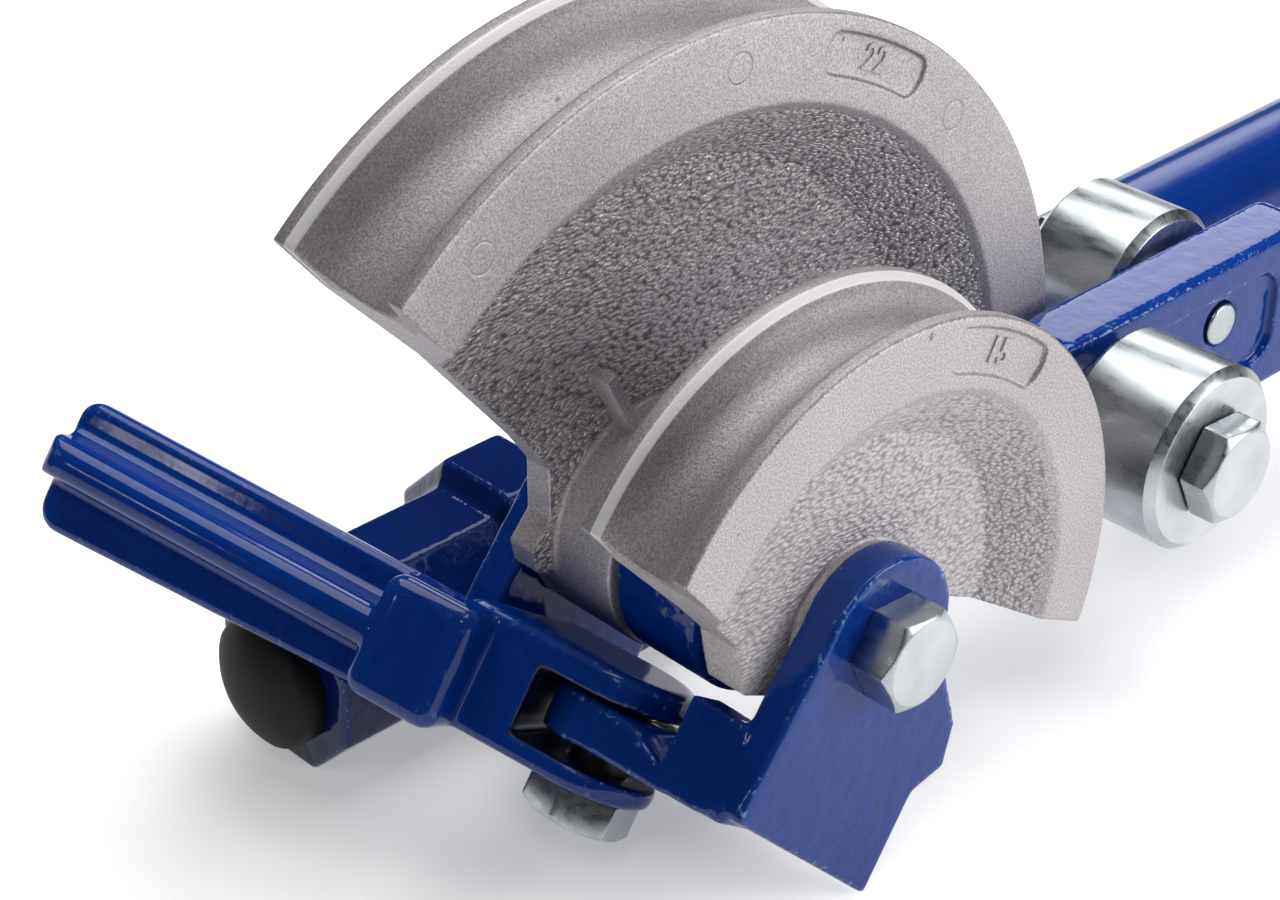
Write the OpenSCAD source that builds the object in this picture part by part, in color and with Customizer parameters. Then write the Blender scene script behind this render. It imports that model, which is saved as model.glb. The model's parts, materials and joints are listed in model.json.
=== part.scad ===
// Two-size hand pipe bender: a cast yoke carrying two half-round formers, a swinging
// lever with two rollers, a fixed handle and a swinging tube stop.
// The axle is the Y axis, the handles run along +X and Z is up.

/* [Formers] */
// Outside diameter of the small tube
small_tube_d = 15; // [14:0.5:16]
// Centre-line radius of the small bend
small_bend_r = 55; // [53:0.5:57]
// Outside diameter of the large tube
large_tube_d = 22; // [21:0.5:23]
// Centre-line radius of the large bend
large_bend_r = 90; // [88:0.5:92]

/* [Frame] */
// Thickness of each yoke ear
ear_t = 7; // [6:0.5:8]
// Lean of the yoke from upright, in degrees
yoke_lean = 35; // [34:0.5:36]
// Outside diameter of the fixed handle tube
handle_d = 28; // [26:0.5:28]
// Reach of the fixed handle from the axle
handle_reach = 560; // [480:5:620]

/* [Lever] */
// Thickness of the lever hub between the formers
lever_t = 18.5; // [17:0.5:20]
// Outside diameter of the lever tube
lever_tube_d = 25; // [24:0.5:26]
// Reach of the lever tube from the axle
lever_reach = 548; // [460:4:610]

/* [Rollers] */
// Diameter of both rollers
roller_d = 34.5; // [33:0.5:35.5]
// Length of both rollers
roller_len = 21.5; // [20:0.5:22]

/* [Stop] */
// Length of the stop arm past its pivot
stop_len = 108.5; // [104:0.5:112]
// Swing of the stop arm at rest, in degrees
stop_rest = 18; // [18:0.5:24]

/* [Hidden] */
$fn = 96;

paint = [0.05, 0.09, 0.36];
alloy = [0.66, 0.64, 0.63];
zinc = [0.80, 0.82, 0.84];
bronze = [0.62, 0.45, 0.22];
black = [0.08, 0.07, 0.07];

// fits
fit = 0.05;
press = 0.03;
side_gap = 0.5;
roller_gap = 0.3;

// formers: the lip lies on the tube's centre line
groove_gap = 0.1;
lip_sum = 7.5;
rim_wall = 4.4;
small_w = small_tube_d + lip_sum;
large_w = large_tube_d + lip_sum + 0.5;
small_groove_r = small_tube_d / 2 + groove_gap;
large_groove_r = large_tube_d / 2 + groove_gap;
small_rim_r = small_bend_r - small_groove_r - rim_wall;
large_rim_r = large_bend_r - large_groove_r - rim_wall + 0.6;
small_floor_r = small_rim_r - 10.3;
large_floor_r = large_rim_r - 12.8;
small_depth = ear_t + 1;
large_depth = 12.8;
small_web_t = 8.5;
large_web_t = 6;
former_axis = 62.7;
former_reach = large_bend_r + 10;
end_slope = 0.437;
foot_drop = 13.5;
small_cut = 5;
small_foot_x0 = -25.9;
small_foot_u = -5.4;
small_foot_x1 = 23;
large_start = 5.5;
large_foot_x0 = -33;
large_foot_u = 8;
large_foot_x1 = 20.5;
small_hub_r = 14;
large_hub_r = 20.5;
large_hub_proud = 1;
pad_depth = 0.8;
small_pad_in = 2.2;
small_pad_edge = 2;
small_pad_start = 47;
small_pad_sweep = 29;
large_pad_in = 4.6;
large_pad_edge = 3;
large_pad_start = 53;
large_pad_sweep = 18;

// places along the axle, from the small former's front face
ear_front_y = -0.5;
ear_inner_y = ear_front_y + ear_t;
lever_y0 = small_w + side_gap;
lever_y1 = lever_y0 + lever_t;
lever_mid_y = (lever_y0 + lever_y1) / 2;
large_y0 = lever_y1 + side_gap;
large_y1 = large_y0 + large_w;
large_web_y1 = large_y0 + large_depth + large_web_t;
back_ear_y0 = large_web_y1 + large_hub_proud;
back_ear_y1 = back_ear_y0 + ear_t + 0.5;

// axle
axle_r = 6;
axle_bore_r = axle_r + fit;
axle_head_h = 7.6;
axle_head_r = 9.2;
roller_head_r = 9.8;
hex_turn = -4;
washer_r = 12.5;
washer_t = 2;
nut_h = 4.2;
nut_r = 8.9;
nut_face_y = back_ear_y1 + washer_t;
axle_end_y = nut_face_y + nut_h + 0.6;

// fixed handle and its socket: the floor is under the socket
handle_r = handle_d / 2;
handle_wall = 2;
socket_wall = 3;
socket_half_w = handle_r + socket_wall;
socket_offset = 26.4;
handle_y = back_ear_y1 + socket_offset;
handle_z = -33;
floor_z = handle_z - socket_half_w;
socket_front_x = -47.8;
socket_step_x = -36;
socket_back_x = 34;
bridge_x0 = -16;
bridge_x1 = 24;
bridge_low_z = -45;
bridge_top_z = -33;
collar_rise = 4;
collar_x0 = -5.1;
collar_lead = 2.4;
collar_len = 13.5;
socket_pin_x = 28;
pin_r = 3;
plug_r = 12.3;
plug_stem_r = 10;
plug_lip = 4.4;
plug_dome_h = 4.6;
grip_len = 124;
grip_end_t = 6;
grip_wall = handle_z - handle_r - floor_z;

// yoke outline about the axle, in the leaning frame
ear_r = 15;
ear_in_x = 26.7;
ear_out_x = -17;
ear_low_z = -33.8;
ear_blend = 8;
ear_notch_h = 19;
ear_bulge = 5.6;
ear_toe_z = (floor_z + ear_in_x * sin(yoke_lean)) / cos(yoke_lean);
bar_in_x = ear_in_x;
bar_out_x = 10;
bar_top_z = -29.6;
bar_low_z = -38.5;

// stop pivot: the fork's leaves close over the yoke's tongue
pivot_x = -4.7;
pivot_y = lever_mid_y + 5.25;
fork_r = 12.7;
fork_top_z = -23.6;
fork_low_z = -44.8;
fork_tip = 2;
leaf_t = 5;
low_leaf_t = 4;
leaf_skin = 1.5;
pocket_end = 12;
tongue_r = 11.4;
tongue_gap = 1;
tongue_top_z = fork_top_z - leaf_t - tongue_gap;
tongue_t = 5.8;
tongue_low_z = tongue_top_z - tongue_t;
tongue_tip_low_z = fork_low_z + low_leaf_t + 2 * tongue_gap;
scoop_z = tongue_top_z - 3.2;
scoop_len = 8;
tongue_out_x = -16.5;
nub_top_z = -20;
nub_len = 11.5;
nub_in_x = -9;
stop_bolt_r = 5;
stop_head_h = 6.5;
stop_head_r = 9.6;
stop_head_turn = 26;

// stop arm, about its pivot: u runs along the arm and p points out of it
arm_p0 = 8.7;
arm_p1 = 13.5;
flange_p1 = 21.9;
flange_top_z = -31.5;
flange_low_z = -38.9;
arm_top_z = -24.6;
arm_low_root_z = -46;
arm_low_end_z = -48.8;
block_u0 = 21.5;
block_u1 = 39.5;
block_p1 = 22.2;
block_top_z = -24.4;
block_low_z = -46;
body_end_u = 28;
root_in_u = 18;
arm_corner = 3;
arm_top_corner = 5;

// lever
lever_hub_r = 20;
lever_bush_r = 8;
bar_t = 13;
bar_y0 = lever_mid_y - bar_t / 2 - 1.25;
bar_y1 = bar_y0 + bar_t;
bar_x0 = 70;
bar_x1 = 150.5;
bar_h = 32.8;
bar_z = -2.6;
bar_corner_r = 6;
neck_h = 25;
panel_t = 2.5;
panel_x0 = 92;
panel_x1 = 138;
panel_h = 19;
lever_tube_r = lever_tube_d / 2;
lever_tube_y = (bar_y0 + bar_y1) / 2;
spigot_r = lever_tube_r - 2;
spigot_len = 56;
lever_pin_in = 17;
lever_pin_out = 42;
lever_pin_x = [bar_x1 + lever_pin_in, bar_x1 + lever_pin_out];
lever_grip_wall = 3;

// rollers: each clears its tube by a little
roller_r = roller_d / 2;
small_clear = 1.5;
large_clear = 3.8;
small_roller_x = small_bend_r + small_tube_d / 2 + small_clear + roller_r;
large_roller_x = large_bend_r + large_tube_d / 2 + large_clear + roller_r;
small_spacer_t = 5.3;
large_spacer_t = 2.2;
spacer_r = 8.5;
small_roller_y1 = bar_y0 - small_spacer_t - roller_gap;
small_roller_y0 = small_roller_y1 - roller_len;
large_roller_y0 = bar_y1 + large_spacer_t + roller_gap;
large_roller_y1 = large_roller_y0 + roller_len;
roller_bolt_r = 5.5;
roller_stud_r = 4.2;
roller_bush_r = 7.5;
roller_head_h = 6;
roller_chamfer = 1.6;
stud_proud = 1.6;

// Turns a flat shape so that its x, y become X, Z, its thickness running from y0 to y1
module lay(y0, y1) {
  translate([0, y1, 0])
    rotate([90, 0, 0])
      linear_extrude(y1 - y0)
        children();
}

// Round bar along the axle's direction
module rod_y(x, z, y0, y1, r) {
  translate([x, y1, z])
    rotate([90, 0, 0])
      cylinder(h = y1 - y0, r = r);
}

// Round bar along the handles' direction
module rod_x(y, z, x0, x1, r) {
  translate([x0, y, z])
    rotate([0, 90, 0])
      cylinder(h = x1 - x0, r = r);
}

// Six-sided bolt head or nut along the axle's direction
module hex_y(x, z, y0, y1, r) {
  translate([x, y1, z])
    rotate([90, 0, 0])
      rotate([0, 0, hex_turn])
        cylinder(h = y1 - y0, r = r, $fn = 6);
}

// Leaning frame of the yoke and the stop
module lean() {
  rotate([0, yoke_lean, 0])
    children();
}

// Frame of the stop arm: x along the arm, y out of it
module stop_frame() {
  lean()
    translate([pivot_x, pivot_y, 0])
      rotate([0, 0, 90 + stop_rest])
        children();
}

// Block between two corners
module block(low, high) {
  translate(low)
    cube(high - low);
}

// Rectangle with round corners, made of plain shapes
module soft_square(x0, x1, z0, z1, r) {
  translate([x0 + r, z0])
    square([x1 - x0 - 2 * r, z1 - z0]);
  translate([x0, z0 + r])
    square([x1 - x0, z1 - z0 - 2 * r]);
  for (x = [x0 + r, x1 - r])
    for (z = [z0 + r, z1 - r])
      translate([x, z])
        circle(r);
}

// Outline of one yoke ear around the axle
module ear_outline() {
  circle(ear_r);
  polygon([[-ear_r * cos(ear_blend), -ear_r * sin(ear_blend)], [ear_out_x, ear_low_z], [ear_in_x, ear_toe_z],
           [ear_in_x, ear_toe_z + ear_notch_h], [ear_in_x + ear_bulge, ear_toe_z + ear_notch_h + ear_bulge],
           [ear_in_x + ear_bulge / 2, ear_toe_z + 2 * ear_notch_h - ear_bulge],
           [ear_r * cos(ear_blend), ear_r * sin(ear_blend)]]);
}

// Plan of the tongue that the stop pivots on, with x inwards and y along the axle
module tongue_plan() {
  y0 = ear_inner_y - ear_t / 2;
  translate([pivot_x, pivot_y])
    circle(tongue_r);
  polygon([[bar_out_x + 4, y0], [tongue_out_x, y0], [tongue_out_x, pivot_y - fork_r - 1],
           [pivot_x - tongue_r + 0.6, pivot_y], [pivot_x, pivot_y + tongue_r],
           [bar_out_x + 4, pivot_y + tongue_r]]);
}

// Side view of the tongue: deeper towards its pivot, scooped beside the nub
module tongue_side() {
  nub_end = ear_inner_y + nub_len;
  tip_y = pivot_y + tongue_r + 1;
  polygon([[ear_front_y, tongue_low_z], [tip_y, tongue_tip_low_z], [tip_y, tongue_top_z],
           [nub_end + scoop_len, tongue_top_z], [nub_end, scoop_z], [ear_front_y, scoop_z]]);
}

module yoke() {
  color(paint)
    lean()
      difference() {
        union() {
          lay(ear_front_y, ear_inner_y)
            ear_outline();
          lay(back_ear_y0, back_ear_y1)
            ear_outline();
          block([bar_out_x, ear_inner_y - 1, bar_low_z], [bar_in_x, back_ear_y0 + 1, bar_top_z]);
          intersection() {
            translate([0, 0, bar_low_z])
              linear_extrude(tongue_top_z - bar_low_z)
                tongue_plan();
            translate([tongue_out_x - 1, 0, 0])
              rotate([90, 0, 90])
                linear_extrude(bar_in_x - tongue_out_x)
                  tongue_side();
          }
          block([tongue_out_x, ear_inner_y - 1, tongue_low_z],
                [nub_in_x, ear_inner_y + nub_len, nub_top_z]);
        }
        rod_y(0, 0, ear_front_y - 1, back_ear_y1 + 1, axle_bore_r);
        translate([pivot_x, pivot_y, fork_low_z])
          cylinder(h = fork_top_z - fork_low_z, r = stop_bolt_r + fit);
      }
}

// Eight-sided bar along the handle, its two half widths across the flats at each end
module octagon_x(x0, x1, half_w0, half_w1) {
  translate([x0, handle_y, handle_z])
    rotate([0, 90, 0])
      rotate([0, 0, 22.5])
        cylinder(h = x1 - x0, r1 = half_w0 / cos(22.5), r2 = half_w1 / cos(22.5), $fn = 8);
}

module handle_socket() {
  collar_half_w = socket_half_w + collar_rise;
  collar_x1 = collar_x0 + collar_lead;
  color(paint)
    difference() {
      union() {
        octagon_x(socket_front_x, socket_back_x, socket_half_w, socket_half_w);
        intersection() {
          union() {
            octagon_x(collar_x0, collar_x1, socket_half_w, collar_half_w);
            octagon_x(collar_x1, collar_x1 + collar_len, collar_half_w, collar_half_w);
          }
          block([collar_x0, handle_y - collar_half_w, floor_z],
                [collar_x1 + collar_len, handle_y + collar_half_w, handle_z + collar_half_w]);
        }
        block([bridge_x0, back_ear_y1, bridge_low_z], [bridge_x1, handle_y, bridge_top_z]);
      }
      rod_x(handle_y, handle_z, socket_step_x, socket_back_x + 1, handle_r + press);
      rod_x(handle_y, handle_z, socket_front_x - 1, socket_step_x + 1, plug_stem_r + fit);
      translate([socket_pin_x, handle_y, handle_z])
        cylinder(h = 3 * socket_half_w, r = pin_r + press, center = true);
    }
}

module fixed_handle() {
  color(paint)
    difference() {
      rod_x(handle_y, handle_z, socket_step_x, handle_reach, handle_r);
      rod_x(handle_y, handle_z, socket_step_x - 1, handle_reach + 1, handle_r - handle_wall);
      translate([socket_pin_x, handle_y, handle_z])
        cylinder(h = 3 * socket_half_w, r = pin_r + press, center = true);
    }
}

module socket_pin() {
  color(zinc)
    translate([socket_pin_x, handle_y, handle_z])
      cylinder(h = 2 * socket_half_w - 1, r = pin_r, center = true);
}

// Domed plug in the front end of the socket
module front_plug() {
  tip_x = socket_front_x - plug_lip - plug_dome_h;
  dome_r = (plug_r * plug_r + plug_dome_h * plug_dome_h) / (2 * plug_dome_h);
  color(black) {
    rod_x(handle_y, handle_z, socket_front_x - 1, socket_step_x - 1, plug_stem_r);
    intersection() {
      rod_x(handle_y, handle_z, tip_x, socket_front_x, plug_r);
      translate([tip_x + dome_r, handle_y, handle_z])
        sphere(dome_r);
    }
  }
}

// Closed sleeve pushed over the end of a handle tube
module grip(y, z, end_x, tube_r, wall) {
  color(black)
    difference() {
      union() {
        rod_x(y, z, end_x - grip_len, end_x + grip_end_t - 3, tube_r + wall);
        translate([end_x + grip_end_t - 3, y, z])
          rotate([0, 90, 0])
            cylinder(h = 3, r1 = tube_r + wall, r2 = tube_r + wall - 3);
      }
      rod_x(y, z, end_x - grip_len - 1, end_x, tube_r + press);
    }
}

module fixed_grip() {
  grip(handle_y, handle_z, handle_reach, handle_r, grip_wall);
}

// Turned profile of a former's rim and web, with a groove cut round its edge
module former_body(w, bend_r, groove_r, rim_r, floor_r, depth, web_t) {
  back_depth = w - depth - web_t;
  difference() {
    rotate_extrude()
      polygon([[bend_r, 0], [bend_r, w], [rim_r, w], [floor_r, w - depth], [axle_bore_r, w - depth],
               [axle_bore_r, back_depth], [floor_r, back_depth], [rim_r, 0]]);
    translate([0, 0, w / 2])
      rotate_extrude()
        translate([bend_r, 0])
          circle(groove_r);
  }
}

// Shallow sunk pad on a former's front lip face
module label_pad(w, r0, r1, start, sweep) {
  translate([0, 0, w - pad_depth])
    rotate([0, 0, start])
      rotate_extrude(angle = sweep)
        translate([r0, 0])
          square([r1 - r0, 2]);
}

// Outline kept of the small former in its own frame: slanted left end, foot, flat right end
module small_keep() {
  polygon([[-former_reach, small_foot_u + (former_reach + small_foot_x0) * end_slope],
           [small_foot_x0, small_foot_u], [small_foot_x0 + 6.4, -foot_drop], [small_foot_x1, -foot_drop],
           [small_foot_x1, small_cut], [former_reach, small_cut], [former_reach, former_reach],
           [-former_reach, former_reach]]);
}

// Outline kept of the large former in its own frame: slanted left end, waisted foot, radial right end
module large_keep() {
  right_angle = large_start + 90 - former_axis;
  polygon([[-former_reach, large_foot_u + (former_reach + large_foot_x0) * end_slope],
           [large_foot_x0, large_foot_u], [large_foot_x0 + 6.5, large_foot_u - 3.5],
           [large_foot_x0 + 11, large_foot_u - 12], [large_foot_x0 + 9.5, large_foot_u - 18],
           [large_foot_x0 + 12.5, -foot_drop],
           [large_foot_x1, -foot_drop], [large_foot_x1, large_foot_x1 * tan(right_angle)],
           [former_reach, former_reach * tan(right_angle)], [former_reach, former_reach],
           [-former_reach, former_reach]]);
}

module small_former() {
  color(alloy)
    translate([0, small_w, 0])
      rotate([90, 0, 0])
        difference() {
          union() {
            intersection() {
              former_body(small_w, small_bend_r, small_groove_r, small_rim_r, small_floor_r,
                          small_depth, small_web_t);
              rotate([0, 0, former_axis - 90])
                linear_extrude(small_w)
                  small_keep();
            }
            cylinder(h = small_w - ear_inner_y, r = small_hub_r);
          }
          translate([0, 0, -1])
            cylinder(h = small_w + 2, r = axle_bore_r);
          label_pad(small_w, small_rim_r + small_pad_in, small_bend_r - small_pad_edge,
                    small_pad_start, small_pad_sweep);
        }
}

module large_former() {
  hub_back = large_y1 - back_ear_y0;
  color(alloy)
    translate([0, large_y1, 0])
      rotate([90, 0, 0])
        difference() {
          union() {
            intersection() {
              former_body(large_w, large_bend_r, large_groove_r, large_rim_r, large_floor_r,
                          large_depth, large_web_t);
              rotate([0, 0, former_axis - 90])
                linear_extrude(large_w)
                  large_keep();
            }
            translate([0, 0, hub_back])
              cylinder(h = large_w - hub_back, r = large_hub_r);
          }
          translate([0, 0, hub_back - 1])
            cylinder(h = large_w - hub_back + 2, r = axle_bore_r);
          label_pad(large_w, large_rim_r + large_pad_in, large_bend_r - large_pad_edge,
                    large_pad_start, large_pad_sweep);
        }
}

module axle_bolt() {
  color(zinc) {
    hex_y(0, 0, ear_front_y - axle_head_h, ear_front_y, axle_head_r);
    rod_y(0, 0, ear_front_y - 1, axle_end_y, axle_r);
  }
}

// Flat ring along the axle's direction
module ring_y(x, z, y0, y1, r, bore) {
  difference() {
    rod_y(x, z, y0, y1, r);
    rod_y(x, z, y0 - 1, y1 + 1, bore);
  }
}

module axle_washer() {
  color(zinc)
    ring_y(0, 0, back_ear_y1, nut_face_y, washer_r, axle_bore_r);
}

module axle_nut() {
  color(zinc)
    difference() {
      hex_y(0, 0, nut_face_y, nut_face_y + nut_h, nut_r);
      rod_y(0, 0, nut_face_y - 1, nut_face_y + nut_h + 1, axle_r + press);
    }
}

// Flat outline of the lever: hub, neck and bar
module lever_outline() {
  translate([0, bar_z - neck_h / 2])
    square([bar_x0 + bar_corner_r, neck_h]);
  soft_square(bar_x0, bar_x1, bar_z - bar_h / 2, bar_z + bar_h / 2, bar_corner_r);
}

// Sunk side panel of the lever bar
module lever_panel(y0) {
  lay(y0, y0 + panel_t)
    soft_square(panel_x0, panel_x1, bar_z - panel_h / 2, bar_z + panel_h / 2, bar_corner_r);
}

module lever_head() {
  color(paint)
    difference() {
      union() {
        rod_y(0, 0, lever_y0, lever_y1, lever_hub_r);
        lay(bar_y0, bar_y1)
          lever_outline();
        rod_x(lever_tube_y, bar_z, bar_x1 - 3, bar_x1 + spigot_len, spigot_r - fit);
      }
      lever_panel(bar_y0);
      lever_panel(bar_y1 - panel_t);
      rod_y(0, 0, lever_y0 - 1, lever_y1 + 1, lever_bush_r + press);
      rod_y(small_roller_x, 0, bar_y0 - 1, bar_y1 + 1, roller_stud_r + fit);
      rod_y(large_roller_x, 0, bar_y0 - 1, bar_y1 + 1, roller_stud_r + fit);
      for (x = lever_pin_x)
        rod_y(x, bar_z, lever_tube_y - lever_tube_d, lever_tube_y + lever_tube_d, pin_r + press);
    }
}

module lever_bush() {
  color(bronze)
    ring_y(0, 0, lever_y0, lever_y1, lever_bush_r, axle_bore_r);
}

module lever_tube() {
  color(paint)
    difference() {
      rod_x(lever_tube_y, bar_z, bar_x1, lever_reach, lever_tube_r);
      rod_x(lever_tube_y, bar_z, bar_x1 - 1, lever_reach + 1, spigot_r);
      for (x = lever_pin_x)
        rod_y(x, bar_z, lever_tube_y - lever_tube_d, lever_tube_y + lever_tube_d, pin_r + press);
    }
}

module lever_pins() {
  color(zinc)
    for (x = lever_pin_x)
      rod_y(x, bar_z, lever_tube_y - lever_tube_r + 0.4, lever_tube_y + lever_tube_r - 0.4, pin_r);
}

module lever_grip() {
  grip(lever_tube_y, bar_z, lever_reach, lever_tube_r, lever_grip_wall);
}

// Shouldered roller bolts: the shoulder lands on the lever bar
module small_roller_bolt() {
  head_y = small_roller_y0 - roller_gap;
  color(zinc) {
    hex_y(small_roller_x, 0, head_y - roller_head_h, head_y, roller_head_r);
    rod_y(small_roller_x, 0, head_y - 1, bar_y0, roller_bolt_r);
    rod_y(small_roller_x, 0, bar_y0 - 1, bar_y1 + stud_proud, roller_stud_r);
  }
}

module large_roller_bolt() {
  head_y = large_roller_y1 + roller_gap;
  color(zinc) {
    hex_y(large_roller_x, 0, head_y, head_y + roller_head_h, roller_head_r);
    rod_y(large_roller_x, 0, bar_y1, head_y + 1, roller_bolt_r);
    rod_y(large_roller_x, 0, bar_y0 + panel_t - stud_proud, bar_y1 + 1, roller_stud_r);
  }
}

module small_roller_spacer() {
  color(zinc)
    ring_y(small_roller_x, 0, bar_y0 - small_spacer_t, bar_y0, spacer_r, roller_bolt_r + press);
}

module large_roller_spacer() {
  color(zinc)
    ring_y(large_roller_x, 0, bar_y1, bar_y1 + large_spacer_t, spacer_r, roller_bolt_r + press);
}

// Chamfered roller with a bore for its bush
module roller(x, y0, y1) {
  edge_r = roller_r - roller_chamfer;
  color(zinc)
    translate([x, y1, 0])
      rotate([90, 0, 0])
        rotate_extrude()
          polygon([[roller_bush_r + press, 0], [edge_r, 0], [roller_r, roller_chamfer],
                   [roller_r, y1 - y0 - roller_chamfer], [edge_r, y1 - y0],
                   [roller_bush_r + press, y1 - y0]]);
}

module small_roller() {
  roller(small_roller_x, small_roller_y0, small_roller_y1);
}

module large_roller() {
  roller(large_roller_x, large_roller_y0, large_roller_y1);
}

module small_roller_bush() {
  color(bronze)
    ring_y(small_roller_x, 0, small_roller_y0, small_roller_y1, roller_bush_r, roller_bolt_r + fit);
}

module large_roller_bush() {
  color(bronze)
    ring_y(large_roller_x, 0, large_roller_y0, large_roller_y1, roller_bush_r, roller_bolt_r + fit);
}

// Side view of the stop arm's upright plate, deeper towards its free end
module arm_plate_outline() {
  polygon([[body_end_u - 4, arm_low_root_z], [stop_len - arm_corner, arm_low_end_z],
           [stop_len, arm_low_end_z + arm_corner], [stop_len, arm_top_z - arm_top_corner],
           [stop_len - arm_top_corner, arm_top_z], [body_end_u - 4, arm_top_z]]);
}

// Plan of the fork's root, cut back on its inner side to pass the back ear
module fork_plan() {
  polygon([[fork_tip, -fork_r], [root_in_u, -fork_r], [body_end_u - 3, 2.5], [body_end_u, fork_r / 2],
           [body_end_u, fork_r], [fork_tip, fork_r]]);
}

module stop_arm() {
  color(paint)
    stop_frame()
      difference() {
        union() {
          translate([fork_tip, 0, fork_low_z])
            cylinder(h = fork_top_z - fork_low_z, r = fork_r);
          translate([0, 0, fork_low_z])
            linear_extrude(fork_top_z - fork_low_z)
              fork_plan();
          translate([0, arm_p1, 0])
            rotate([90, 0, 0])
              linear_extrude(arm_p1 - arm_p0)
                arm_plate_outline();
          translate([0, 0, flange_low_z])
            linear_extrude(flange_top_z - flange_low_z)
              soft_square(body_end_u - 5, stop_len - 1, arm_p0 + 1, flange_p1, 4);
          block([block_u0, arm_p0, block_low_z], [block_u1, block_p1, block_top_z]);
        }
        block([-fork_r - 1, -fork_r - 1, fork_low_z + low_leaf_t],
              [pocket_end, fork_r + 1, fork_top_z - leaf_t]);
        translate([0, 0, fork_low_z - 1])
          cylinder(h = fork_top_z - leaf_skin - fork_low_z + 1, r = stop_bolt_r + press);
      }
}

module stop_bolt() {
  color(zinc)
    stop_frame() {
      translate([0, 0, fork_low_z - stop_head_h])
        rotate([0, 0, stop_head_turn])
          cylinder(h = stop_head_h, r = stop_head_r, $fn = 6);
      translate([0, 0, fork_low_z - 1])
        cylinder(h = fork_top_z - leaf_skin - fork_low_z + 0.7, r = stop_bolt_r);
    }
}

yoke();
handle_socket();
fixed_handle();
socket_pin();
front_plug();
fixed_grip();
small_former();
large_former();
axle_bolt();
axle_washer();
axle_nut();
lever_head();
lever_bush();
lever_tube();
lever_pins();
lever_grip();
small_roller_bolt();
large_roller_bolt();
small_roller_spacer();
large_roller_spacer();
small_roller();
small_roller_bush();
large_roller();
large_roller_bush();
stop_arm();
stop_bolt();
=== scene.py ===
import json
import math

import bmesh
import bpy
from mathutils import Matrix, Vector


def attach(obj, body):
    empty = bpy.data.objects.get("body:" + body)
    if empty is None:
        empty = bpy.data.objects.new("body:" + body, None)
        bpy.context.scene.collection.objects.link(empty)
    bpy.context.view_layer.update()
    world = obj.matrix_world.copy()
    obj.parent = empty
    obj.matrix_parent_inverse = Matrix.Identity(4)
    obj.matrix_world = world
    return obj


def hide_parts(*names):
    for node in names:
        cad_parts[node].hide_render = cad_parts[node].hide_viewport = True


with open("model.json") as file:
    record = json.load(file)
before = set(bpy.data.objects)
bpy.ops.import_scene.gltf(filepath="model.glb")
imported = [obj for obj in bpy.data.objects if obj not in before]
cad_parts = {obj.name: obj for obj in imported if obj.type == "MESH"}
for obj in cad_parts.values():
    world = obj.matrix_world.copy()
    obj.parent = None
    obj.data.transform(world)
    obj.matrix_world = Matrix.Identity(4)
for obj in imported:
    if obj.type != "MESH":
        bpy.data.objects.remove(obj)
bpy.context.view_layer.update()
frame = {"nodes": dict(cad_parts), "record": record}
NODES = frame["nodes"]
MM = 0.001

# Sizes in millimetres, most of them shared with the CAD model
SMALL = dict(bend_r=55.0, width=22.5, y0=0.0, groove_r=7.6,
             rim_r=43.0, floor_r=32.7, depth=8.0, web=8.5)
LARGE = dict(bend_r=90.0, width=30.0, y0=42.0, groove_r=11.1,
             rim_r=75.1, floor_r=62.3, depth=12.8, web=6.0)
SMALL_PAD = dict(r0=45.2, r1=53.0, start=47, sweep=29, corner=2.6)
LARGE_PAD = dict(r0=79.7, r1=87.0, start=53, sweep=18, corner=2.6)
SMALL_HUB = (14.0, 6.5, 22.5)
LARGE_HUB = (20.5, 42.0, 61.8)
AXLE_R = 6.0
BORE_R = 6.05
FORMER_AXIS = 62.7
LARGE_START = 5.5
END_SLOPE = 0.437
FOOT_DROP = 13.5
REACH = 100.0
PAD_DEPTH = 0.8
MARK_HEIGHT = 4.4
RING_MARK_R = 2.6
RING_MARKS_AT = 82.5
RING_MARK_ANGLES = (44.4, 85.0, 123.7)
EDGE_CHAMFER = 1.2
FACET_GAP = 0.03
FLOOR_Z = -50.0
HANDLE_Y = 95.7
HANDLE_Z = -33.0
SOCKET_FRONT_X = -47.8
SOCKET_STEP_X = -36.0
PLUG_R = 12.3
PLUG_STEM_R = 10.0
PLUG_LIP = 4.4
PLUG_DOME = 4.6
LEVER_Y0, LEVER_Y1 = 23.0, 41.5
BAR_Y0, BAR_Y1 = 24.5, 37.5
BAR_X0, BAR_X1 = 70.0, 150.5
BAR_Z0, BAR_Z1 = -19.0, 13.8
BAR_Z = (BAR_Z0 + BAR_Z1) / 2
BAR_Y = (BAR_Y0 + BAR_Y1) / 2
LEVER_HUB_R = 20
NECK_HALF = 12.5
SPIGOT_R = 10.45
SPIGOT_LEN = 56
PANEL_X0, PANEL_X1 = 92, 138
PANEL_HALF = 9.5
PANEL_DEPTH = 1.6
LEVER_BORE_R = 8.05
BOLT_BORE_R = 4.25
PIN_BORE_R = 3.05
PIN_X = (167.5, 192.5)
SMALL_ROLLER = (81.25, -2.6, 18.9)
LARGE_ROLLER = (122.05, 40.0, 61.5)
ROLLER_R = 17.25
ROLLER_GAP = 0.3
ROLLER_BORE_R = 7.53
ROLLER_CHAMFER = 1.6
SPACER_R = 8.5
SPACER_BORE_R = 5.53
WASHER_R = 12.5
WASHER_Y0, WASHER_Y1 = 69.3, 71.3
NUT_R = 8.9
NUT_HEIGHT = 4.2
NUT_BORE_R = 6.03
AXLE_SEAT_Y = -0.5
AXLE_HEAD = (9.2, 7.6)
ROLLER_HEAD = (9.8, 6.0)
STOP_HEAD = (9.6, 6.5)
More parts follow.
